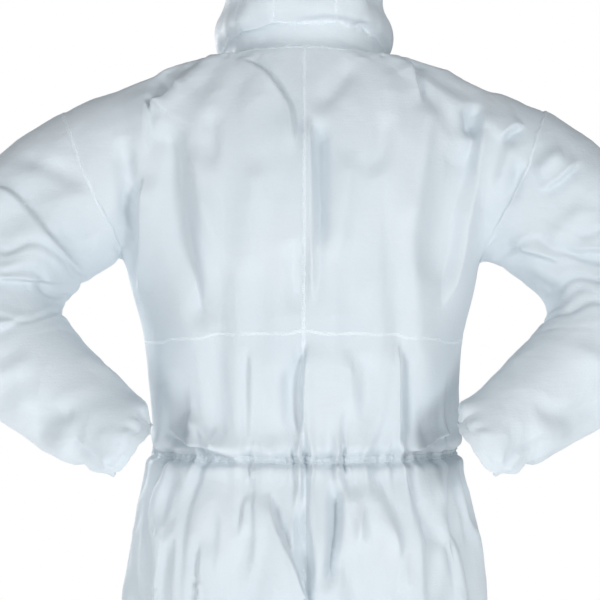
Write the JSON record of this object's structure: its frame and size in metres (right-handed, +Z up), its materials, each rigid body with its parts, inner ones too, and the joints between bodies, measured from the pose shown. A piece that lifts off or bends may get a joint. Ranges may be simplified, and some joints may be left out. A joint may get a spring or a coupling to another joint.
{
  "type": "hooded protective coverall",
  "caption": "Hooded one-piece protective coverall in its worn shape, with a back yoke seam, gathered waist, zip front under a storm flap, and sleeves and legs that bend.",
  "frame": {"origin": "on the floor plane at the trouser hems, midway between the outermost points of the suit left to right and front to back", "axes": "+Z up, from the hems to the hood; -Y the way the wearer faces; +X the wearer's left"},
  "size_m": [0.8896, 0.3536, 1.7591],
  "materials": {
    "suit_fabric": "matte nonwoven with a fine embossed grain",
    "elastic": "ribbed elastic",
    "seam_binding": "smooth bound tape",
    "zip_tape": "woven tape",
    "zip_chain": "moulded coil",
    "zip_metal": "white enamel",
    "adhesive_tape": "release paper"
  },
  "bodies": {
    "trunk": {"back_upper_left": "suit_fabric", "back_upper_right": "suit_fabric", "back_lower_left": "suit_fabric", "back_lower_right": "suit_fabric", "front_left": "suit_fabric", "front_right": "suit_fabric", "seat_left": "suit_fabric", "seat_right": "suit_fabric", "front_lap_left": "suit_fabric", "front_lap_right": "suit_fabric", "crotch_gusset": "suit_fabric", "waist_elastic": "elastic", "collar_band": "suit_fabric", "zip_tape_left": "zip_tape", "zip_tape_right": "zip_tape", "zip_chain_left": "zip_chain", "zip_chain_right": "zip_chain", "zip_bottom_stop": "zip_metal", "storm_flap_end": "suit_fabric", "shoulder_tape_left": "seam_binding", "shoulder_tape_right": "seam_binding", "back_seam_upper_binding": "seam_binding", "back_seam_lower_binding": "seam_binding", "seat_seam_binding": "seam_binding", "yoke_binding": "seam_binding", "armhole_binding_left": "seam_binding", "armhole_binding_right": "seam_binding"},
    "hood": {"hood_left": "suit_fabric", "hood_right": "suit_fabric", "hood_centre_strip": "suit_fabric", "hood_left_binding": "seam_binding", "hood_right_binding": "seam_binding", "face_elastic": "elastic"},
    "slider": {"zip_slider": "zip_metal"},
    "pull": {"pull_tab": "zip_metal"},
    "flap": {"storm_flap": "suit_fabric", "flap_adhesive_tape": "adhesive_tape"},
    "left_upper_arm": {"left_upper_sleeve": "suit_fabric", "left_elbow_fold": "suit_fabric"},
    "left_forearm": {"left_forearm_sleeve": "suit_fabric", "left_cuff_elastic": "elastic"},
    "left_upper_leg": {"left_thigh": "suit_fabric", "left_knee_fold": "suit_fabric"},
    "left_lower_leg": {"left_shin": "suit_fabric", "left_ankle_elastic": "elastic"},
    "right_upper_arm": {"right_upper_sleeve": "suit_fabric", "right_elbow_fold": "suit_fabric"},
    "right_forearm": {"right_forearm_sleeve": "suit_fabric", "right_cuff_elastic": "elastic"},
    "right_upper_leg": {"right_thigh": "suit_fabric", "right_knee_fold": "suit_fabric"},
    "right_lower_leg": {"right_shin": "suit_fabric", "right_ankle_elastic": "elastic"}
  },
  "joints": [
    {"name": "left_shoulder", "type": "hinge", "parent": "trunk", "child": "left_upper_arm", "pos_m": [0.172, -0.03712, 1.395], "axis": [0, -1, 0], "range_deg": [-5, 50]},
    {"name": "left_elbow", "type": "hinge", "parent": "left_upper_arm", "child": "left_forearm", "pos_m": [0.38, 0.01787, 1.16], "axis": [-0.1916, -0.9044, -0.3813], "range_deg": [0, 75]},
    {"name": "left_hip", "type": "hinge", "parent": "trunk", "child": "left_upper_leg", "pos_m": [0.1145, -0.03712, 0.86], "axis": [-1, 0, 0], "range_deg": [-15, 45]},
    {"name": "left_knee", "type": "hinge", "parent": "left_upper_leg", "child": "left_lower_leg", "pos_m": [0.137, -0.03712, 0.45], "axis": [1, 0, 0], "range_deg": [0, 75]},
    {"name": "right_shoulder", "type": "hinge", "parent": "trunk", "child": "right_upper_arm", "pos_m": [-0.172, -0.03712, 1.395], "axis": [0, 1, 0], "range_deg": [-5, 50]},
    {"name": "right_elbow", "type": "hinge", "parent": "right_upper_arm", "child": "right_forearm", "pos_m": [-0.38, 0.01787, 1.16], "axis": [-0.1916, 0.9044, 0.3813], "range_deg": [0, 75]},
    {"name": "right_hip", "type": "hinge", "parent": "trunk", "child": "right_upper_leg", "pos_m": [-0.1145, -0.03712, 0.86], "axis": [-1, 0, 0], "range_deg": [-15, 45]},
    {"name": "right_knee", "type": "hinge", "parent": "right_upper_leg", "child": "right_lower_leg", "pos_m": [-0.137, -0.03712, 0.45], "axis": [1, 0, 0], "range_deg": [0, 75]},
    {"name": "hood_fold", "type": "hinge", "parent": "trunk", "child": "hood", "pos_m": [0, 0.06688, 1.486], "axis": [-1, 0, 0], "range_deg": [0, 100]},
    {"name": "zip_slide", "type": "slide", "parent": "trunk", "child": "slider", "axis": [0, 0, -1], "range_m": [0, 0.588]},
    {"name": "pull_tab_hinge", "type": "hinge", "parent": "slider", "child": "pull", "pos_m": [0, -0.16903, 1.4182], "axis": [-1, 0, 0], "range_deg": [0, 170]},
    {"name": "storm_flap_hinge", "type": "hinge", "parent": "trunk", "child": "flap", "pos_m": [0.0405, -0.16922, 1.15], "axis": [0, 0, 1], "range_deg": [0, 160]}
  ]
}
